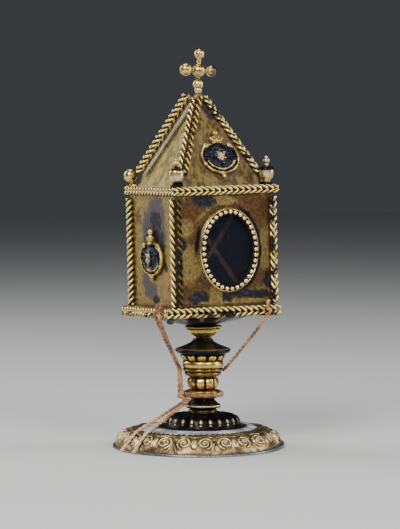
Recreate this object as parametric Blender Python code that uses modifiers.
"""A reliquary casket: a square house of gilt copper under a steep roof, on a turned stem and a round foot.

Metres, +Z up. The origin is on the surface it stands on, under the middle of the foot's rim.
The windowed front of the casket faces -Y. The casket leans a little, its base tray and its roof
are each turned a little on it, and the foot's rim is bent, as on the worn original.
"""
import math

import bmesh
import bpy
from mathutils import Matrix, Quaternion, Vector

MM = 0.001
GAP = 0.3 * MM

# The foot is one raised sheet, open below, with a lobed border and a low boss.
FOOT_RADIUS = 47.5 * MM
FOOT_FLANGE = 1.6 * MM
FOOT_SHEET = 1.2 * MM
FOOT_RIM_THICKNESS = 1.1 * MM
BORDER_HEIGHT = 10.2 * MM
BORDER_ROUNDNESS = 1.3
BORDER_WIDTH = 14.0 * MM
BORDER_LOBES = 12
LOBE_RELIEF = 0.45 * MM
FIELD_RISE = 1.6 * MM
BOSS_RADIUS = 21.5 * MM
BOSS_HEIGHT = 6.4 * MM
RIM_LIFT = 1.3 * MM
RIM_LIFT_TOWARDS = math.radians(-27)
FOOT_STEPS = 48

# The stem stands a little off the middle of the rim.
STEM_OFFSET = 2.45 * MM
STEM_OFFSET_TOWARDS = math.radians(-27)
STEM_STEPS = 20

# Heights and radii of the stem's pieces, from the boss up.
COLLAR_HEIGHT = 2.7 * MM
COLLAR_RADIUS = 7.9 * MM
LEAF_DISC_HEIGHT = 5.2 * MM
LEAF_DISC_RADIUS = 9.7 * MM
LEAF_COUNT = 8
RING_HEIGHT = 4.6 * MM
RING_RADIUS = 9.4 * MM
BULB_HEIGHT = 6.8 * MM
BULB_RADIUS = 8.8 * MM
GADROONS = 10
GADROON_DEPTH = 0.7 * MM
KNOP_COLLAR_HEIGHT = 10.1 * MM
KNOP_COLLAR_RADIUS = 11.0 * MM
PETALS = 12
KNOP_CAP_HEIGHT = 10.3 * MM
KNOP_CAP_RADIUS = 15.3 * MM
CUP_HEIGHT = 6.9 * MM
CUP_RADIUS = 10.2 * MM

# A fluted dish carries the base tray.
DISH_RADIUS = 29.6 * MM
DISH_DEPTH = 5.9 * MM
DISH_FOOT_RADIUS = 9.2 * MM
DISH_SHEET = 1.1 * MM
FLUTES = 16
FLUTE_RELIEF = 0.5 * MM

# The casket proper, above the stem.
CASKET_WIDTH = 59.2 * MM
CASKET_DEPTH = 55.8 * MM
WALL_HEIGHT = 60.4 * MM
WALL_SHEET = 1.2 * MM
LEAN = math.radians(1.3)
LEAN_TOWARDS = math.radians(153)
CASKET_SHIFT = 0.57 * MM

TRAY_SIDE_HEIGHT = 5.2 * MM
TRAY_SHEET = 1.2 * MM
TRAY_OVERHANG = 1.3 * MM
TRAY_TURN = math.radians(-2.5)
TRAY_BACK_DROP = math.radians(1.6)
TRAY_RIGHT_DROP = math.radians(0.8)
TRAY_SHIFT = 1.8 * MM
TRAY_SHIFT_TOWARDS = math.radians(153)

CORNICE_SHEET = 2.1 * MM

# Twisted wires edge the tray, the walls' corners, the cornice and the roof's ridges.
WIRE_RADIUS = 1.25 * MM
WIRE_STEP = 3.9 * MM
WIRE_SIDES = 3
WIRE_TURN = math.radians(60)

ROOF_INSET = 1.85 * MM
ROOF_HEIGHT = 51.4 * MM
ROOF_TOP_WIDTH = 2.4 * MM
ROOF_SHEET = 1.0 * MM
ROOF_TURN = math.radians(2.2)
RIDGE_WIRE_START = 7.5 * MM
RIDGE_WIRE_END = 2.4 * MM
LOOSE_RIDGE_LOW = 2.6 * MM
LOOSE_RIDGE_HIGH = 3.7 * MM

# The oval window in the front wall.
WINDOW_HALF_WIDTH = 14.0 * MM
WINDOW_HALF_HEIGHT = 18.9 * MM
WINDOW_OFFSET = 1.7 * MM
WINDOW_CENTRE_HEIGHT = 29.2 * MM
BEZEL_WIDTH = 4.4 * MM
BEZEL_PROUD = 3.6 * MM
BEZEL_BEADS = 36
BEAD_RELIEF = 0.9 * MM
GLASS_LAP = 0.7 * MM
GLASS_THICKNESS = 0.9 * MM
OVAL_STEPS = 36

# Two flat strips cross inside the casket, behind the window.
STRIP_WIDTH = 2.4 * MM
STRIP_THICKNESS = 0.8 * MM
STRIP_SET_BACK = 16.0 * MM
STRIP_SPREAD = 21.5 * MM

# Winged cherub heads are applied to the front of the roof and to both side walls.
CHERUB_WIDTH = 25.0 * MM
CHERUB_HEIGHT = 28.0 * MM
CHERUB_RELIEF = 4.2 * MM
ROOF_CHERUB_OFFSET = 1.6 * MM
ROOF_CHERUB_HEIGHT = 19.8 * MM
WALL_CHERUB_HEIGHT = 25.0 * MM

# Urn finials stand on the cornice's corners, one of them broken down to its ball.
FINIAL_INSET = 2.0 * MM
FINIAL_HEIGHT = 16.6 * MM
FINIAL_RADIUS = 4.1 * MM
FINIAL_FOOT_RADIUS = 3.2 * MM
FINIAL_STEPS = 10
BROKEN_BALL_RADIUS = 4.0 * MM
BROKEN_BALL_HEIGHT = 6.8 * MM
BROKEN_BALL_OUT = 2.6 * MM

# A bead and a cross of balls end the roof.
APEX_BEAD_RADIUS = 3.0 * MM
APEX_BEAD_HEIGHT = 7.4 * MM
CROSS_HEIGHT = 17.5 * MM
CROSS_KNOB_HEIGHT = 5.4 * MM
CROSS_KNOB_RADIUS = 3.0 * MM
CROSS_ARM = 7.9 * MM
CROSS_BALL_RADIUS = 3.1 * MM
CROSS_TIP_RADIUS = 2.7 * MM
CROSS_ROD_RADIUS = 1.1 * MM
BALL_STEPS = 10
CROSS_STEPS = 8

# Twine ties the casket to the stem.
TWINE_RADIUS = 0.9 * MM
WRAP_TURNS = 2
KNOT_RADIUS = 1.8 * MM
TWINE_STEP = 4.6 * MM
KNOT_TOWARDS = math.radians(174)
KNOT_TURN = math.radians(18)
TAIL_SPREAD = math.radians(12)
TAIL_START_TURN = math.radians(4)
TAIL_TOWARDS = math.radians(192.5)
LUMP_RADIUS = 2.3 * MM

# Sizes that follow from the ones above, then heights from the ground up.
TRAY_WIDTH = CASKET_WIDTH + 2 * TRAY_OVERHANG
TRAY_DEPTH = CASKET_DEPTH + 2 * TRAY_OVERHANG
TRAY_RISE = (TRAY_DEPTH * math.sin(TRAY_BACK_DROP) + TRAY_WIDTH * math.sin(TRAY_RIGHT_DROP)) / 2
FIELD_HEIGHT = BORDER_HEIGHT + FIELD_RISE
BOSS_TOP = FIELD_HEIGHT + BOSS_HEIGHT
COLLAR_BASE = BOSS_TOP + GAP
LEAF_DISC_BASE = COLLAR_BASE + COLLAR_HEIGHT + GAP
RING_BASE = LEAF_DISC_BASE + LEAF_DISC_HEIGHT + GAP
BULB_BASE = RING_BASE + RING_HEIGHT + GAP
KNOP_COLLAR_BASE = BULB_BASE + BULB_HEIGHT + GAP
KNOP_CAP_BASE = KNOP_COLLAR_BASE + KNOP_COLLAR_HEIGHT + GAP
CUP_BASE = KNOP_CAP_BASE + KNOP_CAP_HEIGHT + GAP
DISH_BASE = CUP_BASE + CUP_HEIGHT + 2 * GAP
TRAY_BASE = DISH_BASE + DISH_DEPTH + GAP
TRAY_TOP = TRAY_BASE + TRAY_SIDE_HEIGHT
WALL_BASE = TRAY_TOP + TRAY_RISE + GAP
WALL_TOP = WALL_BASE + WALL_HEIGHT
CORNICE_BASE = WALL_TOP + GAP
CORNICE_TOP = CORNICE_BASE + CORNICE_SHEET
ROOF_BASE = CORNICE_TOP + GAP
ROOF_TOP = ROOF_BASE + ROOF_HEIGHT
APEX_BEAD_BASE = ROOF_TOP + GAP
CROSS_BASE = APEX_BEAD_BASE + APEX_BEAD_HEIGHT + GAP
WINDOW_CENTRE = Vector((WINDOW_OFFSET, -CASKET_DEPTH / 2, WALL_BASE + WINDOW_CENTRE_HEIGHT))

STEM_CENTRE = Vector((math.cos(STEM_OFFSET_TOWARDS), math.sin(STEM_OFFSET_TOWARDS), 0)) * STEM_OFFSET
WIRE_OUT = GAP + WIRE_RADIUS

GILT = ("gilt_copper", (0.60, 0.43, 0.17), 0.9, 0.38)
COPPER = ("patinated_copper", (0.35, 0.23, 0.13), 0.75, 0.5)
DARK = ("dark_patina", (0.05, 0.05, 0.07), 0.6, 0.42)
GLASS = ("window_glass", (0.10, 0.11, 0.13), 0.0, 0.08)
STRIP = ("strip_copper", (0.38, 0.18, 0.10), 0.6, 0.5)
TWINE = ("twine", (0.55, 0.33, 0.19), 0.0, 0.85)
WAX = ("dark_wax", (0.09, 0.04, 0.07), 0.0, 0.45)


def clear_scene():
    for old in list(bpy.data.objects):
        bpy.data.objects.remove(old, do_unlink=True)


def new_collection(name):
    collection = bpy.data.collections.new(name)
    bpy.context.scene.collection.children.link(collection)
    return collection


clear_scene()
PARTS = new_collection("reliquary_casket")
CUTTERS = new_collection("cutters")


def finish_material(spec):
    """A material made once for each finish and shared by its pieces."""
    name, colour, metallic, roughness = spec
    found = bpy.data.materials.get(name)
    if found:
        return found
    made = bpy.data.materials.new(name)
    made.use_nodes = True
    shader = made.node_tree.nodes["Principled BSDF"]
    shader.inputs["Base Color"].default_value = (*colour, 1)
    shader.inputs["Metallic"].default_value = metallic
    shader.inputs["Roughness"].default_value = roughness
    made.diffuse_color = (*colour, 1)
    return made


def guide(name, parent=None):
    """An empty that carries pieces."""
    empty = bpy.data.objects.new(name, None)
    PARTS.objects.link(empty)
    empty.parent = parent
    return empty


def make_piece(name, mesh, finish, parent=None):
    obj = bpy.data.objects.new(name, mesh)
    PARTS.objects.link(obj)
    mesh.materials.clear()
    mesh.materials.append(finish_material(finish))
    obj.parent = parent
    return obj


def make_cutter(name, mesh, parent=None):
    obj = bpy.data.objects.new(name, mesh)
    CUTTERS.objects.link(obj)
    obj.parent = parent
    obj.hide_render = True
    obj.display_type = "WIRE"
    return obj


def evaluated_mesh(obj, name):
    """The mesh that the object's modifiers give, facing out, with doubles merged."""
    bpy.context.view_layer.update()
    depsgraph = bpy.context.evaluated_depsgraph_get()
    mesh = bpy.data.meshes.new_from_object(obj.evaluated_get(depsgraph))
    mesh.name = name
    bm = bmesh.new()
    bm.from_mesh(mesh)
    bmesh.ops.remove_doubles(bm, verts=bm.verts, dist=0.002 * MM)
    bmesh.ops.recalc_face_normals(bm, faces=bm.faces)
    bm.to_mesh(mesh)
    bm.free()
    return mesh


def drop(obj):
    data = obj.data
    bpy.data.objects.remove(obj, do_unlink=True)
    if isinstance(data, bpy.types.Mesh) and data.users == 0:
        bpy.data.meshes.remove(data)


def turned_mesh(name, profile, steps):
    """A profile of (radius, height) points, from the top down its outer side, turned about Z."""
    mesh = bpy.data.meshes.new(name + "_profile")
    points = [(radius, 0, height) for radius, height in profile]
    edges = [(i, i + 1) for i in range(len(points) - 1)]
    mesh.from_pydata(points, edges, [])
    blank = bpy.data.objects.new(name + "_blank", mesh)
    PARTS.objects.link(blank)
    screw = blank.modifiers.new("turn", "SCREW")
    screw.axis = "Z"
    screw.steps = steps
    screw.render_steps = steps
    screw.use_merge_vertices = True
    screw.merge_threshold = 0.001 * MM
    result = evaluated_mesh(blank, name)
    drop(blank)
    return result


def smooth(mesh, angle=35):
    mesh.shade_smooth()
    mesh.set_sharp_from_angle(angle=math.radians(angle))


def reshape(mesh, change):
    """Each vertex goes where the function sends it."""
    for vertex in mesh.vertices:
        vertex.co = change(vertex.co.copy())


def boolean(obj, cutter, operation="DIFFERENCE"):
    modifier = obj.modifiers.new(operation.lower(), "BOOLEAN")
    modifier.operation = operation
    modifier.solver = "EXACT"
    modifier.object = cutter


def joined_mesh(name, meshes):
    """Overlapping closed meshes made one body by Boolean unions."""
    base = bpy.data.objects.new(name + "_base", meshes[0])
    PARTS.objects.link(base)
    extra = []
    for number, mesh in enumerate(meshes[1:]):
        other = bpy.data.objects.new(f"{name}_add_{number}", mesh)
        CUTTERS.objects.link(other)
        boolean(base, other, "UNION")
        extra.append(other)
    result = evaluated_mesh(base, name)
    for old in [base, *extra]:
        drop(old)
    return result


def ramp(value, low, high):
    """0 below low, 1 above high, smooth between."""
    share = min(1, max(0, (value - low) / (high - low)))
    return share * share * (3 - 2 * share)


def box_mesh(name, size, centre, turn=None):
    bm = bmesh.new()
    bmesh.ops.create_cube(bm, size=1, matrix=Matrix.Diagonal((*size, 1)))
    if turn is not None:
        bmesh.ops.transform(bm, matrix=turn, verts=bm.verts)
    bmesh.ops.translate(bm, vec=centre, verts=bm.verts)
    mesh = bpy.data.meshes.new(name)
    bm.to_mesh(mesh)
    bm.free()
    return mesh


def open_box_mesh(name, size, centre, open_sides):
    """A cube of sheet without the faces whose normals are given."""
    bm = bmesh.new()
    bmesh.ops.create_cube(bm, size=1, matrix=Matrix.Diagonal((*size, 1)))
    gone = [f for f in bm.faces if any(f.normal.dot(Vector(side)) > 0.9 for side in open_sides)]
    bmesh.ops.delete(bm, geom=gone, context="FACES")
    bmesh.ops.translate(bm, vec=centre, verts=bm.verts)
    mesh = bpy.data.meshes.new(name)
    bm.to_mesh(mesh)
    bm.free()
    return mesh


def thicken(obj, thickness):
    """Sheet metal: the outside stays, the thickness goes in."""
    modifier = obj.modifiers.new("sheet", "SOLIDIFY")
    modifier.thickness = thickness
    modifier.offset = -1
    modifier.use_even_offset = True


def foot_shape(point):
    """The foot's boss and field stand off the rim's middle, and the rim is bent up on one side."""
    radius = math.hypot(point.x, point.y)
    angle = math.atan2(point.y, point.x)
    inner = 1 - ramp(radius, BOSS_RADIUS, FOOT_RADIUS - FOOT_FLANGE)
    lift = RIM_LIFT * ramp(radius, FOOT_RADIUS - BORDER_WIDTH / 2, FOOT_RADIUS)
    lift *= max(0, math.cos(angle - RIM_LIFT_TOWARDS)) ** 6
    return point + STEM_CENTRE * inner + Vector((0, 0, lift))


def foot_outer(point):
    """Lobes round the border, then the bent shape."""
    radius = math.hypot(point.x, point.y)
    angle = math.atan2(point.y, point.x)
    middle = FOOT_RADIUS - BORDER_WIDTH * 0.45
    band = max(0, 1 - ((radius - middle) / (BORDER_WIDTH * 0.4)) ** 2)
    outward = Vector((math.cos(angle), math.sin(angle), 1)).normalized()
    return foot_shape(point + outward * LOBE_RELIEF * band * math.cos(BORDER_LOBES * angle))


def border_point(share, thickness=0.0):
    """A point on the border's rounded section: share 0 at its inner edge, 1 at the flange."""
    angle = share * math.pi / 2
    inner = FOOT_RADIUS - BORDER_WIDTH
    width = BORDER_WIDTH - FOOT_FLANGE - thickness
    height = BORDER_HEIGHT - FOOT_RIM_THICKNESS - thickness
    return inner + width * math.sin(angle), FOOT_RIM_THICKNESS + height * math.cos(angle) ** BORDER_ROUNDNESS


def build_foot():
    boss = BOSS_RADIUS
    border = [border_point(share) for share in (0.15, 0.42, 0.72)]
    outer = [
        (0, BOSS_TOP),
        (boss * 0.60, BOSS_TOP - BOSS_HEIGHT * 0.04),
        (boss * 0.85, BOSS_TOP - BOSS_HEIGHT * 0.20),
        (boss * 0.94, BOSS_TOP - BOSS_HEIGHT * 0.66),
        (boss, FIELD_HEIGHT),
        (FOOT_RADIUS - BORDER_WIDTH - 1.6 * MM, BORDER_HEIGHT + 0.2 * MM),
        (FOOT_RADIUS - BORDER_WIDTH - 0.4 * MM, BORDER_HEIGHT - 0.6 * MM),
        *border,
        (FOOT_RADIUS - FOOT_FLANGE, FOOT_RIM_THICKNESS + 0.2 * MM),
        (FOOT_RADIUS, FOOT_RIM_THICKNESS),
        (FOOT_RADIUS, 0),
        (0, 0),
    ]
    mesh = turned_mesh("foot", outer, FOOT_STEPS)
    reshape(mesh, foot_outer)
    smooth(mesh)
    foot = make_piece("foot", mesh, GILT)
    sheet = FOOT_SHEET
    hollow = [
        (0, BOSS_TOP - sheet),
        (boss * 0.60, BOSS_TOP - sheet),
        (boss * 0.80, BOSS_TOP - BOSS_HEIGHT * 0.28 - sheet),
        (boss - sheet, FIELD_HEIGHT - sheet),
        (FOOT_RADIUS - BORDER_WIDTH, BORDER_HEIGHT - 0.8 * MM - sheet),
        border_point(0.50, sheet + LOBE_RELIEF),
        (FOOT_RADIUS - FOOT_FLANGE - sheet, FOOT_RIM_THICKNESS),
        (FOOT_RADIUS - FOOT_FLANGE - sheet, -sheet),
        (0, -sheet),
    ]
    cutter_mesh = turned_mesh("foot_hollow", hollow, FOOT_STEPS // 2)
    reshape(cutter_mesh, foot_shape)
    boolean(foot, make_cutter("foot_hollow", cutter_mesh))


def build_stem_piece(name, base, height, profile, finish, steps=STEM_STEPS, change=None, parent=None):
    """A turned piece on the stem's axis. Profile heights are shares of its own height."""
    points = [(radius, base + share * height) for radius, share in profile]
    mesh = turned_mesh(name, [(0, points[0][1]), *points, (0, points[-1][1])], steps)
    if change:
        reshape(mesh, change)
    smooth(mesh)
    piece = make_piece(name, mesh, finish, parent)
    if parent is None:
        piece.location = STEM_CENTRE
    return piece


def waves(count, depth, inner_radius, outer_radius):
    """Pushes the outside in and out, count times round, by depth at the outer radius."""
    def change(point):
        radius = math.hypot(point.x, point.y)
        if radius < inner_radius:
            return point
        angle = math.atan2(point.y, point.x)
        push = depth * ramp(radius, inner_radius, outer_radius) * math.cos(count * angle)
        return Vector((point.x * (1 + push / radius), point.y * (1 + push / radius), point.z))
    return change


def build_stem():
    r = COLLAR_RADIUS
    build_stem_piece("stem_collar", COLLAR_BASE, COLLAR_HEIGHT, [
        (r * 0.75, 1), (r * 0.93, 0.85), (r, 0.5), (r * 0.94, 0.2), (r * 0.8, 0)], GILT)
    r = LEAF_DISC_RADIUS
    build_stem_piece("leaf_disc", LEAF_DISC_BASE, LEAF_DISC_HEIGHT, [
        (r * 0.64, 1), (r * 0.75, 0.72), (r * 0.91, 0.42), (r, 0.16), (r * 0.96, 0.05), (r * 0.86, 0)],
        DARK, change=waves(LEAF_COUNT, 0.35 * MM, LEAF_DISC_RADIUS * 0.7, LEAF_DISC_RADIUS))
    r = RING_RADIUS
    build_stem_piece("stem_ring", RING_BASE, RING_HEIGHT, [
        (r * 0.84, 1), (r * 0.97, 0.85), (r, 0.6), (r, 0.4), (r * 0.97, 0.15), (r * 0.84, 0)], GILT)
    r = BULB_RADIUS
    build_stem_piece("gadrooned_bulb", BULB_BASE, BULB_HEIGHT, [
        (r * 0.74, 1), (r * 0.90, 0.88), (r, 0.60), (r * 0.98, 0.34), (r * 0.84, 0.12), (r * 0.68, 0)],
        GILT, steps=3 * GADROONS, change=gadroon_shape)
    r = KNOP_COLLAR_RADIUS
    build_stem_piece("knop_collar", KNOP_COLLAR_BASE, KNOP_COLLAR_HEIGHT, [
        (r * 0.95, 1), (r * 1.07, 0.98), (r * 1.04, 0.84), (r * 0.93, 0.72), (r * 0.99, 0.60),
        (r, 0.44), (r * 0.95, 0.28), (r * 0.84, 0.20), (r * 0.87, 0.08), (r * 0.75, 0)],
        GILT, steps=2 * PETALS, change=petal_shape)
    r = KNOP_CAP_RADIUS
    build_stem_piece("knop_cap", KNOP_CAP_BASE, KNOP_CAP_HEIGHT, [
        (r * 0.36, 1), (r * 0.39, 0.86), (r * 0.54, 0.70), (r * 0.74, 0.55), (r * 0.94, 0.42),
        (r, 0.28), (r * 0.985, 0.15), (r * 0.88, 0.02), (r * 0.72, 0)], DARK)


def gadroon_shape(point):
    """A groove every third step makes full panels between."""
    angle = math.atan2(point.y, point.x)
    groove = max(0, math.cos(GADROONS * angle) - 0.5) * 2
    radius = math.hypot(point.x, point.y)
    share = ramp(radius, BULB_RADIUS * 0.7, BULB_RADIUS * 0.95)
    if radius == 0:
        return point
    factor = 1 - GADROON_DEPTH / BULB_RADIUS * groove * share
    return Vector((point.x * factor, point.y * factor, point.z))


def petal_shape(point):
    """Only the collar's top third is cut into petals."""
    start = KNOP_COLLAR_BASE + KNOP_COLLAR_HEIGHT * 0.75
    if point.z < start:
        return point
    angle = math.atan2(point.y, point.x)
    factor = 1 + 0.045 * math.cos(PETALS * angle)
    return Vector((point.x * factor, point.y * factor, point.z))


def build_casket_guides():
    """The leaning frame of all that is above the stem, and the turned frames of the tray and the roof."""
    lean_axis = Vector((-math.sin(LEAN_TOWARDS), math.cos(LEAN_TOWARDS), 0))
    lean = Quaternion(lean_axis, LEAN)
    pivot = Vector((0, 0, CUP_BASE))
    shift = Vector((math.cos(STEM_OFFSET_TOWARDS), math.sin(STEM_OFFSET_TOWARDS), 0)) * CASKET_SHIFT
    frame = guide("casket_lean")
    frame.rotation_mode = "QUATERNION"
    frame.rotation_quaternion = lean
    frame.location = STEM_CENTRE + shift + pivot - lean @ pivot
    tray = guide("tray_turn", frame)
    tilt = Matrix.Rotation(-TRAY_BACK_DROP, 3, "X") @ Matrix.Rotation(TRAY_RIGHT_DROP, 3, "Y")
    turn = Matrix.Rotation(TRAY_TURN, 3, "Z") @ tilt
    middle = Vector((0, 0, TRAY_TOP))
    tray.rotation_mode = "QUATERNION"
    tray.rotation_quaternion = turn.to_quaternion()
    towards = Vector((math.cos(TRAY_SHIFT_TOWARDS), math.sin(TRAY_SHIFT_TOWARDS), 0))
    tray.location = towards * TRAY_SHIFT + middle - turn @ middle
    roof = guide("roof_turn", frame)
    roof.rotation_euler.z = ROOF_TURN
    bpy.context.view_layer.update()
    return frame, tray, roof


def build_cup_and_dish(frame, tray):
    r = CUP_RADIUS
    build_stem_piece("stem_cup", CUP_BASE, CUP_HEIGHT, [
        (r * 0.93, 1), (r, 0.90), (r * 0.87, 0.80), (r * 0.98, 0.70), (r * 0.80, 0.50),
        (r * 0.58, 0.27), (r * 0.38, 0)], GILT, steps=20, parent=frame)
    rim = DISH_RADIUS
    foot = DISH_FOOT_RADIUS
    sheet = DISH_SHEET / DISH_DEPTH
    outer = [(rim, 1), (rim * 0.82, 0.62), (rim * 0.55, 0.31), (foot, 0.04), (foot * 0.85, 0)]
    inner = [(foot, 0.04 + sheet), (rim * 0.54, 0.31 + sheet), (rim - DISH_SHEET * 1.6, 1)]
    build_stem_piece("fluted_dish", DISH_BASE, DISH_DEPTH, inner + outer, DARK, steps=2 * FLUTES,
                     change=waves(FLUTES, FLUTE_RELIEF, foot * 1.1, rim * 0.7), parent=tray)


def twisted_wire_mesh(name, start, end):
    """A twisted bar: a small triangle turned and lifted by a Screw modifier, then laid from start to end."""
    run = end - start
    count = max(2, round(run.length / WIRE_STEP))
    bm = bmesh.new()
    bmesh.ops.create_circle(bm, segments=WIRE_SIDES, radius=WIRE_RADIUS, cap_ends=False)
    mesh = bpy.data.meshes.new(name + "_section")
    bm.to_mesh(mesh)
    bm.free()
    blank = bpy.data.objects.new(name + "_blank", mesh)
    PARTS.objects.link(blank)
    screw = blank.modifiers.new("twist", "SCREW")
    screw.axis = "Z"
    screw.angle = count * WIRE_TURN
    screw.screw_offset = run.length
    screw.steps = count
    screw.render_steps = count
    screw.use_merge_vertices = True
    screw.merge_threshold = 0.001 * MM
    result = evaluated_mesh(blank, name)
    drop(blank)
    bm = bmesh.new()
    bm.from_mesh(result)
    bmesh.ops.holes_fill(bm, edges=[e for e in bm.edges if e.is_boundary], sides=WIRE_SIDES)
    bmesh.ops.triangulate(bm, faces=bm.faces, quad_method="SHORT_EDGE")
    bmesh.ops.recalc_face_normals(bm, faces=bm.faces)
    bm.transform(Matrix.Translation(start) @ run.to_track_quat("Z", "Y").to_matrix().to_4x4())
    bm.to_mesh(result)
    bm.free()
    return result


def wire_ring(name, half_width, half_depth, height, parent):
    """One twisted wire bent round four mitred corners, its centre line at the half sizes given."""
    corners = [(-1, -1), (1, -1), (1, 1), (-1, 1)]
    outward = [(0, -1), (1, 0), (0, 1), (-1, 0)]
    stations = []
    for side in range(4):
        start = Vector((corners[side][0] * half_width, corners[side][1] * half_depth, height))
        end_signs = corners[(side + 1) % 4]
        end = Vector((end_signs[0] * half_width, end_signs[1] * half_depth, height))
        normal = Vector((*outward[side], 0))
        mitre = (normal + Vector((*outward[side - 1], 0))).normalized()
        count = max(2, round((end - start).length / WIRE_STEP))
        for step in range(count):
            stations.append((start.lerp(end, step / count), mitre if step == 0 else normal))
    bm = bmesh.new()
    rings = []
    for number, (place, out) in enumerate(stations):
        angles = [number * WIRE_TURN + 2 * math.pi * i / WIRE_SIDES for i in range(WIRE_SIDES)]
        rings.append([bm.verts.new(place + WIRE_RADIUS * (math.cos(a) * out + Vector((0, 0, math.sin(a)))))
                      for a in angles])
    skip = round(len(stations) * WIRE_TURN / (2 * math.pi / WIRE_SIDES)) % WIRE_SIDES
    for number, ring in enumerate(rings):
        last = number == len(rings) - 1
        after = rings[0] if last else rings[number + 1]
        offset = skip if last else 0
        for i in range(WIRE_SIDES):
            j = (i + 1) % WIRE_SIDES
            bm.faces.new((ring[i], ring[j], after[(j + offset) % WIRE_SIDES], after[(i + offset) % WIRE_SIDES]))
    bmesh.ops.triangulate(bm, faces=bm.faces, quad_method="SHORT_EDGE")
    bmesh.ops.recalc_face_normals(bm, faces=bm.faces)
    mesh = bpy.data.meshes.new(name)
    bm.to_mesh(mesh)
    bm.free()
    make_piece(name, mesh, GILT, parent)


def build_tray(tray):
    size = (TRAY_WIDTH, TRAY_DEPTH, TRAY_SIDE_HEIGHT)
    centre = (0, 0, TRAY_BASE + TRAY_SIDE_HEIGHT / 2)
    obj = make_piece("base_tray", open_box_mesh("base_tray", size, centre, [(0, 0, -1)]), COPPER, tray)
    thicken(obj, TRAY_SHEET)
    half_width = TRAY_WIDTH / 2 + WIRE_OUT
    half_depth = TRAY_DEPTH / 2 + WIRE_OUT
    upper = TRAY_TOP - WIRE_RADIUS
    wire_ring("tray_wire_upper", half_width, half_depth, upper, tray)
    wire_ring("tray_wire_lower", half_width, half_depth, upper - 2 * WIRE_RADIUS - GAP, tray)


def oval_mesh(name, half_width, half_height, thickness, centre, steps=OVAL_STEPS):
    """An upright oval plate, flat to the front, made from a cylinder."""
    bm = bmesh.new()
    bmesh.ops.create_cone(bm, segments=steps, radius1=1, radius2=1, depth=thickness, cap_ends=True)
    upright = Matrix.Rotation(math.pi / 2, 4, "X")
    bmesh.ops.scale(bm, vec=(half_width, half_height, 1), verts=bm.verts)
    bmesh.ops.transform(bm, matrix=Matrix.Translation(centre) @ upright, verts=bm.verts)
    mesh = bpy.data.meshes.new(name)
    bm.to_mesh(mesh)
    bm.free()
    return mesh


def build_walls(frame):
    size = (CASKET_WIDTH, CASKET_DEPTH, WALL_HEIGHT)
    centre = (0, 0, WALL_BASE + WALL_HEIGHT / 2)
    mesh = open_box_mesh("casket_walls", size, centre, [(0, 0, -1), (0, 0, 1)])
    walls = make_piece("casket_walls", mesh, COPPER, frame)
    thicken(walls, WALL_SHEET)
    hole = oval_mesh("window_hole", WINDOW_HALF_WIDTH + GLASS_LAP + GAP, WINDOW_HALF_HEIGHT + GLASS_LAP + GAP,
                     6 * WALL_SHEET, WINDOW_CENTRE)
    boolean(walls, make_cutter("window_hole", hole, frame))


def bezel_point(offset, proud, angle):
    """A point of the bezel: offset out from the opening's edge and proud of the wall's face."""
    x = (WINDOW_HALF_WIDTH + offset) * math.cos(angle)
    z = (WINDOW_HALF_HEIGHT + offset) * math.sin(angle)
    return WINDOW_CENTRE + Vector((x, -proud, z))


def build_bezel(frame):
    """A collar whose crest swells into beads, swept round the oval opening."""
    crest = BEZEL_PROUD - BEAD_RELIEF
    section = [(0, GAP, 0), (0, crest * 0.85, 0), (BEZEL_WIDTH * 0.5, crest, 1), (BEZEL_WIDTH, GAP, 0)]
    steps = 2 * BEZEL_BEADS
    bm = bmesh.new()
    rings = []
    for step in range(steps):
        angle = 2 * math.pi * step / steps
        swell = BEAD_RELIEF * (step % 2)
        rings.append([bm.verts.new(bezel_point(offset, proud + swell * bead, angle))
                      for offset, proud, bead in section])
    count = len(section)
    for step, ring in enumerate(rings):
        after = rings[(step + 1) % steps]
        for i in range(count):
            j = (i + 1) % count
            bm.faces.new((ring[i], ring[j], after[j], after[i]))
    bmesh.ops.recalc_face_normals(bm, faces=bm.faces)
    mesh = bpy.data.meshes.new("window_bezel")
    bm.to_mesh(mesh)
    bm.free()
    smooth(mesh, 50)
    make_piece("window_bezel", mesh, GILT, frame)
    pane_centre = WINDOW_CENTRE + Vector((0, GAP + GLASS_THICKNESS / 2, 0))
    pane = oval_mesh("window_glass", WINDOW_HALF_WIDTH + GLASS_LAP, WINDOW_HALF_HEIGHT + GLASS_LAP,
                     GLASS_THICKNESS, pane_centre)
    make_piece("window_glass", pane, GLASS, frame)


def build_strips(frame):
    """Two flat strips stand crosswise from the tray to the cornice."""
    height = WALL_HEIGHT - 2 * GAP
    tilt = math.atan2(2 * STRIP_SPREAD, height)
    length = (height - STRIP_WIDTH * math.sin(tilt)) / math.cos(tilt)
    for number, side in enumerate((1, -1)):
        back = -CASKET_DEPTH / 2 + STRIP_SET_BACK + number * (STRIP_THICKNESS + GAP)
        centre = Vector((WINDOW_OFFSET - 0.6 * MM, back, WALL_BASE + GAP + height / 2))
        turn = Matrix.Rotation(side * tilt, 4, "Y")
        mesh = box_mesh(f"inner_strip_{number + 1}", (STRIP_WIDTH, STRIP_THICKNESS, length), centre, turn)
        make_piece(f"inner_strip_{number + 1}", mesh, STRIP, frame)


def build_corner_wires(frame):
    """Two twisted wires flank each upright corner, one on each wall."""
    low = WALL_BASE
    high = WALL_TOP - 2 * WIRE_RADIUS - GAP
    corners = {"near_left": (-1, -1), "near_right": (1, -1), "far_right": (1, 1), "far_left": (-1, 1)}
    for label, (sx, sy) in corners.items():
        places = {
            "side": (sx * (CASKET_WIDTH / 2 + WIRE_OUT), sy * (CASKET_DEPTH / 2 - WIRE_RADIUS)),
            "face": (sx * (CASKET_WIDTH / 2 - WIRE_RADIUS), sy * (CASKET_DEPTH / 2 + WIRE_OUT)),
        }
        for kind, (x, y) in places.items():
            name = f"corner_wire_{label}_{kind}"
            mesh = twisted_wire_mesh(name, Vector((x, y, low)), Vector((x, y, high)))
            make_piece(name, mesh, GILT, frame)


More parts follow.
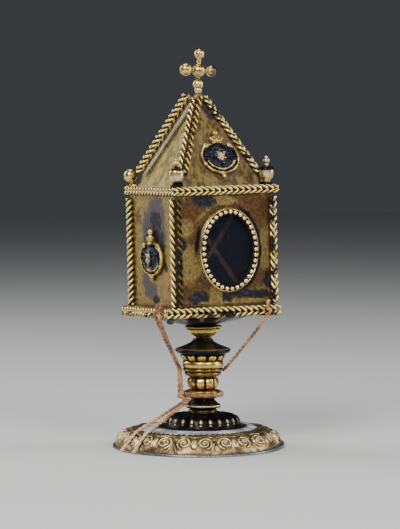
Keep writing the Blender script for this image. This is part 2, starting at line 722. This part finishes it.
def build_cornice(frame):
    half_width = CASKET_WIDTH / 2 + WIRE_OUT
    half_depth = CASKET_DEPTH / 2 + WIRE_OUT
    wire_ring("cornice_wire_lower", half_width, half_depth, WALL_TOP - WIRE_RADIUS, frame)
    wire_ring("cornice_wire_upper", half_width, half_depth, WALL_TOP + GAP + WIRE_RADIUS, frame)
    size = (CASKET_WIDTH, CASKET_DEPTH, CORNICE_SHEET)
    make_piece("cornice_plate", box_mesh("cornice_plate", size, (0, 0, CORNICE_BASE + CORNICE_SHEET / 2)),
               COPPER, frame)


def finial_places():
    x = CASKET_WIDTH / 2 - FINIAL_INSET
    y = CASKET_DEPTH / 2 - FINIAL_INSET
    return {"near_left": (-x, -y), "near_right": (x, -y), "far_right": (x, y), "far_left": (-x, y)}


def roof_half(height):
    """Half width and half depth of the roof's outside at a height above the cornice."""
    share = 1 - (height - ROOF_BASE) / ROOF_HEIGHT
    low_x = CASKET_WIDTH / 2 - ROOF_INSET
    low_y = CASKET_DEPTH / 2 - ROOF_INSET
    top = ROOF_TOP_WIDTH / 2
    return top + (low_x - top) * share, top + (low_y - top) * share


def pyramid_mesh(name, low, high, inset):
    """The roof's pyramid between two heights, each side set in by the inset."""
    bm = bmesh.new()
    bmesh.ops.create_cone(bm, segments=4, radius1=1, radius2=1, depth=high - low, cap_ends=True,
                          matrix=Matrix.Rotation(math.pi / 4, 4, "Z"))
    bmesh.ops.translate(bm, vec=(0, 0, (low + high) / 2), verts=bm.verts)
    for vertex in bm.verts:
        half_width, half_depth = roof_half(vertex.co.z)
        vertex.co.x = math.copysign(half_width - inset, vertex.co.x)
        vertex.co.y = math.copysign(half_depth - inset, vertex.co.y)
    mesh = bpy.data.meshes.new(name)
    bm.to_mesh(mesh)
    bm.free()
    return mesh


def build_roof(frame, roof):
    """A hollow pyramid of sheet, cut round the finials' feet."""
    obj = make_piece("roof", pyramid_mesh("roof", ROOF_BASE, ROOF_TOP, 0), COPPER, roof)
    slope = math.atan2(roof_half(ROOF_BASE)[0] - roof_half(ROOF_TOP)[0], ROOF_HEIGHT)
    hollow = pyramid_mesh("roof_hollow", ROOF_BASE - ROOF_SHEET, ROOF_TOP - ROOF_SHEET, ROOF_SHEET / math.cos(slope))
    boolean(obj, make_cutter("roof_hollow", hollow, roof))
    for label, (x, y) in finial_places().items():
        cut = bmesh.new()
        bmesh.ops.create_cone(cut, segments=FINIAL_STEPS, radius1=FINIAL_RADIUS + GAP, radius2=FINIAL_RADIUS + GAP,
                              depth=FINIAL_HEIGHT * 2, cap_ends=True)
        bmesh.ops.translate(cut, vec=(x, y, ROOF_BASE), verts=cut.verts)
        cut_mesh = bpy.data.meshes.new("finial_cut_" + label)
        cut.to_mesh(cut_mesh)
        cut.free()
        boolean(obj, make_cutter("finial_cut_" + label, cut_mesh, frame))


def build_ridge_wires(roof):
    """Two twisted wires flank each ridge. The far left pair has sprung away from the roof."""
    low_z = ROOF_BASE + RIDGE_WIRE_START
    high_z = ROOF_TOP - RIDGE_WIRE_END
    corners = {"near_left": (-1, -1), "near_right": (1, -1), "far_right": (1, 1), "far_left": (-1, 1)}
    for label, (sx, sy) in corners.items():
        ends = []
        for z in (low_z, high_z):
            half_width, half_depth = roof_half(z)
            ends.append(Vector((sx * half_width, sy * half_depth, z)))
        along = (ends[1] - ends[0]).normalized()
        for kind, level in (("side", Vector((0, 1, 0))), ("face", Vector((1, 0, 0)))):
            normal = along.cross(level).normalized()
            if normal.z < 0:
                normal = -normal
            inward = normal.cross(along)
            if inward.dot(Vector((-sx, -sy, 0))) < 0:
                inward = -inward
            shift = normal * WIRE_OUT + inward * WIRE_RADIUS
            low, high = (LOOSE_RIDGE_LOW, LOOSE_RIDGE_HIGH) if label == "far_left" else (0, 0)
            name = f"ridge_wire_{label}_{kind}"
            mesh = twisted_wire_mesh(name, ends[0] + shift + normal * low, ends[1] + shift + normal * high)
            make_piece(name, mesh, GILT, roof)


def ellipsoid(name, half_sizes, centre, turn=0.0, across=8, up=4):
    """A squashed sphere, turned in the relief's own plane."""
    bm = bmesh.new()
    bmesh.ops.create_uvsphere(bm, u_segments=across, v_segments=up, radius=1)
    matrix = Matrix.Translation(centre) @ Matrix.Rotation(turn, 4, "Z") @ Matrix.Diagonal((*half_sizes, 1))
    bm.transform(matrix)
    mesh = bpy.data.meshes.new(name)
    bm.to_mesh(mesh)
    bm.free()
    return mesh


def cherub_mesh(name):
    """A winged head in relief, flat behind, with a crest above and a drop below. X across, Y up, Z out."""
    w = CHERUB_WIDTH
    h = CHERUB_HEIGHT
    d = CHERUB_RELIEF
    shapes = [
        ellipsoid("head", (w * 0.20, h * 0.21, d), (0, h * 0.06, 0)),
        ellipsoid("crest", (w * 0.17, h * 0.10, d * 0.62), (0, h * 0.29, 0)),
        ellipsoid("top_jewel", (w * 0.09, h * 0.12, d * 0.45), (0, h * 0.39, 0)),
        ellipsoid("wing_left", (w * 0.25, h * 0.13, d * 0.45), (-w * 0.24, h * 0.01, 0), math.radians(-24)),
        ellipsoid("wing_right", (w * 0.25, h * 0.13, d * 0.45), (w * 0.24, h * 0.01, 0), math.radians(24)),
        ellipsoid("swag", (w * 0.26, h * 0.11, d * 0.5), (0, -h * 0.20, 0)),
        ellipsoid("drop", (w * 0.09, h * 0.17, d * 0.4), (0, -h * 0.34, 0)),
    ]
    mesh = joined_mesh(name, shapes)
    bm = bmesh.new()
    bm.from_mesh(mesh)
    bmesh.ops.bisect_plane(bm, geom=bm.verts[:] + bm.edges[:] + bm.faces[:], plane_co=(0, 0, 0),
                           plane_no=(0, 0, 1), clear_inner=True, dist=0.001 * MM)
    bmesh.ops.contextual_create(bm, geom=[e for e in bm.edges if e.is_boundary])
    bmesh.ops.recalc_face_normals(bm, faces=bm.faces)
    bm.to_mesh(mesh)
    bm.free()
    smooth(mesh, 50)
    return mesh


def place_cherub(name, matrix, parent):
    mesh = cherub_mesh(name)
    mesh.transform(matrix)
    make_piece(name, mesh, COPPER, parent)


def build_cherubs(frame, roof):
    upright = Matrix.Rotation(math.pi / 2, 4, "X")
    out = CASKET_WIDTH / 2 + GAP
    centre_z = WALL_BASE + WALL_CHERUB_HEIGHT
    for name, turn, x in (("cherub_left_wall", -math.pi / 2, -out), ("cherub_right_wall", math.pi / 2, out)):
        place = Matrix.Translation((x, 0, centre_z)) @ Matrix.Rotation(turn, 4, "Z") @ upright
        place_cherub(name, place, frame)
    low = roof_half(ROOF_BASE)[1]
    high = roof_half(ROOF_TOP)[1]
    slope = math.atan2(low - high, ROOF_HEIGHT)
    height = ROOF_BASE + ROOF_CHERUB_HEIGHT
    y = -roof_half(height)[1]
    normal = Vector((0, -math.cos(slope), math.sin(slope)))
    place = Matrix.Translation(Vector((ROOF_CHERUB_OFFSET, y, height)) + normal * GAP)
    place_cherub("cherub_roof", place @ Matrix.Rotation(-slope, 4, "X") @ upright, roof)


def build_finials(frame):
    r = FINIAL_RADIUS
    foot = FINIAL_FOOT_RADIUS
    profile = [(r * 0.20, 0.98), (r * 0.47, 0.87), (r * 0.30, 0.78), (r * 0.24, 0.69), (r * 0.82, 0.63), (r, 0.52),
               (r * 0.92, 0.35), (r * 0.55, 0.22), (foot * 0.6, 0.16), (foot, 0.10), (foot * 0.92, 0)]
    for label, (x, y) in finial_places().items():
        base = Vector((x, y, CORNICE_TOP + GAP))
        if label == "far_left":
            build_broken_finial(base, frame)
            continue
        points = [(radius, share * FINIAL_HEIGHT) for radius, share in profile]
        mesh = turned_mesh("finial_" + label, [(0, FINIAL_HEIGHT), *points, (0, 0)], FINIAL_STEPS)
        smooth(mesh)
        piece = make_piece("finial_" + label, mesh, GILT, frame)
        piece.location = base


def build_broken_finial(base, frame):
    """Only a short bent neck and a cut ball are left."""
    outward = Vector((base.x, base.y, 0)).normalized() * BROKEN_BALL_OUT
    centre = outward + Vector((0, 0, BROKEN_BALL_HEIGHT))
    bm = bmesh.new()
    bmesh.ops.create_cone(bm, segments=8, radius1=FINIAL_FOOT_RADIUS * 0.9, radius2=FINIAL_FOOT_RADIUS * 0.45,
                          depth=BROKEN_BALL_HEIGHT, cap_ends=True,
                          matrix=Matrix.Translation((0, 0, BROKEN_BALL_HEIGHT / 2)))
    for vertex in bm.verts:
        if vertex.co.z > BROKEN_BALL_HEIGHT / 2:
            vertex.co += outward
    neck = bpy.data.meshes.new("broken_neck")
    bm.to_mesh(neck)
    bm.free()
    ball = ellipsoid("broken_ball", (BROKEN_BALL_RADIUS,) * 3, centre, 0.3, 9, 6)
    piece = make_piece("finial_far_left", joined_mesh("finial_far_left", [neck, ball]), GILT, frame)
    piece.location = base


def ball_section(height, radius, steps=3):
    """Points down the outside of a ball, between its rods."""
    start = math.asin(CROSS_ROD_RADIUS / radius)
    span = math.pi - 2 * start
    angles = [start + span * i / steps for i in range(steps + 1)]
    return [(radius * math.sin(a), height + radius * math.cos(a)) for a in angles]


def build_apex(frame):
    r = APEX_BEAD_RADIUS
    h = APEX_BEAD_HEIGHT
    profile = [(0, h), (r * 0.5, h * 0.98), (r * 0.93, h * 0.80), (r, h * 0.62), (r * 0.8, h * 0.42),
               (r * 0.5, h * 0.20), (r * 0.46, 0), (0, 0)]
    mesh = turned_mesh("apex_bead", profile, BALL_STEPS)
    smooth(mesh)
    bead = make_piece("apex_bead", mesh, GILT, frame)
    bead.location.z = APEX_BEAD_BASE
    knob = CROSS_KNOB_HEIGHT
    rod = CROSS_ROD_RADIUS
    tip = CROSS_HEIGHT - 3.0 * MM - CROSS_TIP_RADIUS * 0.2
    upright = [(0, CROSS_HEIGHT), (rod * 0.5, CROSS_HEIGHT - 0.9 * MM), *ball_section(tip, CROSS_TIP_RADIUS),
               *ball_section(knob, CROSS_KNOB_RADIUS), (rod, 0), (0, 0)]
    arm_end = CROSS_ARM + CROSS_BALL_RADIUS
    arm = [(0, arm_end), *ball_section(CROSS_ARM, CROSS_BALL_RADIUS), *ball_section(-CROSS_ARM, CROSS_BALL_RADIUS),
           (0, -arm_end)]
    arm_mesh = turned_mesh("cross_arm", arm, CROSS_STEPS)
    arm_mesh.transform(Matrix.Translation((0, 0, knob)) @ Matrix.Rotation(math.pi / 2, 4, "Y"))
    mesh = joined_mesh("top_cross", [turned_mesh("cross_upright", upright, CROSS_STEPS), arm_mesh])
    smooth(mesh)
    cross = make_piece("top_cross", mesh, GILT, frame)
    cross.location.z = CROSS_BASE


def smooth_route(points, step):
    """Evenly spaced points on a smooth curve through the route's own points."""
    dense = []
    for i in range(len(points) - 1):
        before = points[max(0, i - 1)]
        here, after = points[i], points[i + 1]
        beyond = points[min(len(points) - 1, i + 2)]
        for k in range(12):
            t = k / 12
            dense.append(0.5 * ((2 * here) + (after - before) * t + (2 * before - 5 * here + 4 * after - beyond) * t ** 2
                                + (3 * here - before - 3 * after + beyond) * t ** 3))
    dense.append(points[-1])
    lengths = [0.0]
    for a, b in zip(dense, dense[1:]):
        lengths.append(lengths[-1] + (b - a).length)
    count = max(2, round(lengths[-1] / step))
    route = []
    place = 0
    for n in range(count + 1):
        wanted = lengths[-1] * n / count
        while place < len(lengths) - 2 and lengths[place + 1] < wanted:
            place += 1
        share = (wanted - lengths[place]) / (lengths[place + 1] - lengths[place])
        route.append(dense[place].lerp(dense[place + 1], share))
    return route


def twine_tube(name, points, radius=TWINE_RADIUS):
    curve = bpy.data.curves.new(name, "CURVE")
    curve.dimensions = "3D"
    curve.bevel_depth = radius
    curve.bevel_resolution = 2
    curve.use_fill_caps = True
    spline = curve.splines.new("POLY")
    route = smooth_route(points, TWINE_STEP)
    spline.points.add(len(route) - 1)
    for point, place in zip(spline.points, route):
        point.co = (*place, 1)
    obj = bpy.data.objects.new(name, curve)
    curve.materials.append(finish_material(TWINE))
    PARTS.objects.link(obj)


def stem_point(angle, radius, height):
    """A point round the stem's axis."""
    return STEM_CENTRE + Vector((radius * math.cos(angle), radius * math.sin(angle), height))


def build_twine(tray):
    """Two taut runs from the stem over the tray's edge, turns round the ring, a knot and two tails."""
    left = math.radians(153)
    right = math.radians(-27)
    wire_top = TRAY_TOP + GAP + TWINE_RADIUS
    out = 2 * WIRE_RADIUS + 2 * GAP + TWINE_RADIUS
    to_world = tray.matrix_world

    def tray_place(x, y, z):
        return to_world @ Vector((x, y, z))

    waist = KNOP_COLLAR_RADIUS * 1.0 + GAP + TWINE_RADIUS
    level = KNOP_COLLAR_BASE + KNOP_COLLAR_HEIGHT * 0.44
    edge_x = -(TRAY_WIDTH / 2 + out)
    edge_y = -TRAY_DEPTH * 0.34
    left_run = [
        stem_point(left, waist + 1.2 * MM, level),
        tray_place(edge_x - 0.5 * MM, edge_y, TRAY_BASE - 1.0 * MM),
        tray_place(edge_x - 0.3 * MM, edge_y - 0.3 * MM, TRAY_BASE + TRAY_SIDE_HEIGHT * 0.5),
        tray_place(edge_x + 0.2 * MM, edge_y - 0.9 * MM, wire_top - 0.4 * MM),
        tray_place(edge_x + 2.2 * MM, edge_y - 3.0 * MM, wire_top + 0.3 * MM),
        tray_place(edge_x + 2.9 * MM, -TRAY_DEPTH / 2 + 4.6 * MM, wire_top + 0.2 * MM),
    ]
    twine_tube("twine_left_run", left_run)

    front_y = -(TRAY_DEPTH / 2 + out)
    corner_x = TRAY_WIDTH / 2 - 6.0 * MM
    right_run = [
        stem_point(math.radians(100), waist, level - 2.2 * MM),
        stem_point(math.radians(55), waist, level - 1.8 * MM),
        stem_point(math.radians(15), waist + 0.3 * MM, level - 1.0 * MM),
        stem_point(right, waist + 1.8 * MM, level + 1.6 * MM),
        tray_place(corner_x, front_y - 0.6 * MM, TRAY_BASE - 1.0 * MM),
        tray_place(corner_x + 0.4 * MM, front_y - 0.3 * MM, TRAY_BASE + TRAY_SIDE_HEIGHT * 0.5),
        tray_place(corner_x + 0.8 * MM, front_y + 0.3 * MM, wire_top - 0.3 * MM),
        tray_place(corner_x + 2.4 * MM, front_y + 2.2 * MM, wire_top + 0.4 * MM),
    ]
    twine_tube("twine_right_run", right_run)

    inner = RING_RADIUS + GAP
    outer = inner + 2 * TWINE_RADIUS
    low = RING_BASE + RING_HEIGHT / 2 - WRAP_TURNS * TWINE_RADIUS
    high = low + 2 * WRAP_TURNS * TWINE_RADIUS
    round_off = TWINE_RADIUS * 0.5
    section = [(inner, high), (outer - round_off, high), (outer, high - round_off), (outer, low + round_off),
               (outer - round_off, low), (inner, low), (inner, high)]
    mesh = turned_mesh("twine_wraps", section, STEM_STEPS)
    smooth(mesh)
    wraps = make_piece("twine_wraps", mesh, TWINE)
    wraps.location = STEM_CENTRE

    knot_out = outer + GAP + KNOT_RADIUS
    knot = [
        stem_point(KNOT_TOWARDS, knot_out, low - 0.5 * MM),
        stem_point(KNOT_TOWARDS, knot_out + 0.2 * MM, high),
        stem_point(KNOT_TOWARDS - KNOT_TURN / 2, knot_out + 0.2 * MM, KNOP_COLLAR_BASE),
        stem_point(KNOT_TOWARDS - KNOT_TURN, knot_out + 0.3 * MM, level - KNOT_RADIUS - TWINE_RADIUS - GAP),
    ]
    twine_tube("twine_knot", knot, KNOT_RADIUS)

    for number, towards in enumerate((TAIL_TOWARDS - TAIL_SPREAD / 2, TAIL_TOWARDS + TAIL_SPREAD / 2)):
        start = stem_point(towards + TAIL_START_TURN, outer + GAP, low - TWINE_RADIUS - GAP)
        build_tail(f"twine_tail_{number + 1}", towards, start)


def foot_surface(radius):
    """Height of the foot's border at a radius, above its lobes."""
    inner = FOOT_RADIUS - BORDER_WIDTH
    share = math.asin(min(1, max(0, (radius - inner) / (BORDER_WIDTH - FOOT_FLANGE)))) * 2 / math.pi
    return border_point(share)[1] + LOBE_RELIEF


def build_tail(name, towards, start):
    """A free end: down from the turns, across the foot's border and over its edge to the ground."""
    direction = Vector((math.cos(towards), math.sin(towards), 0))
    clear = TWINE_RADIUS + GAP
    crest = FOOT_RADIUS - BORDER_WIDTH * 0.62
    shoulder = FOOT_RADIUS - BORDER_WIDTH * 0.30
    points = [
        start,
        start.lerp(direction * crest + Vector((0, 0, foot_surface(crest) + clear)), 0.5) + Vector((0, 0, 0.2 * MM)),
        direction * crest + Vector((0, 0, foot_surface(crest) + clear + 0.8 * MM)),
        direction * shoulder + Vector((0, 0, foot_surface(shoulder) + clear + 0.5 * MM)),
        direction * (FOOT_RADIUS - 0.4 * MM) + Vector((0, 0, 4.0 * MM)),
        direction * (FOOT_RADIUS + clear + 1.6 * MM) + Vector((0, 0, TWINE_RADIUS + 0.1 * MM)),
    ]
    twine_tube(name, points)


def build_lump(tray):
    """A hardened lump of wax hangs on the tray's lower edge at the near left corner."""
    centre = Vector((-TRAY_WIDTH / 2, -TRAY_DEPTH / 2, TRAY_BASE - GAP - LUMP_RADIUS * 0.8))
    mesh = ellipsoid("wax_lump", (LUMP_RADIUS, LUMP_RADIUS, LUMP_RADIUS * 0.8), centre)
    smooth(mesh)
    make_piece("wax_lump", mesh, WAX, tray)


def main():
    frame, tray, roof = build_casket_guides()
    build_foot()
    build_stem()
    build_cup_and_dish(frame, tray)
    build_tray(tray)
    build_walls(frame)
    build_bezel(frame)
    build_strips(frame)
    build_corner_wires(frame)
    build_cornice(frame)
    build_roof(frame, roof)
    build_ridge_wires(roof)
    build_cherubs(frame, roof)
    build_finials(frame)
    build_apex(frame)
    build_twine(tray)
    build_lump(tray)


main()
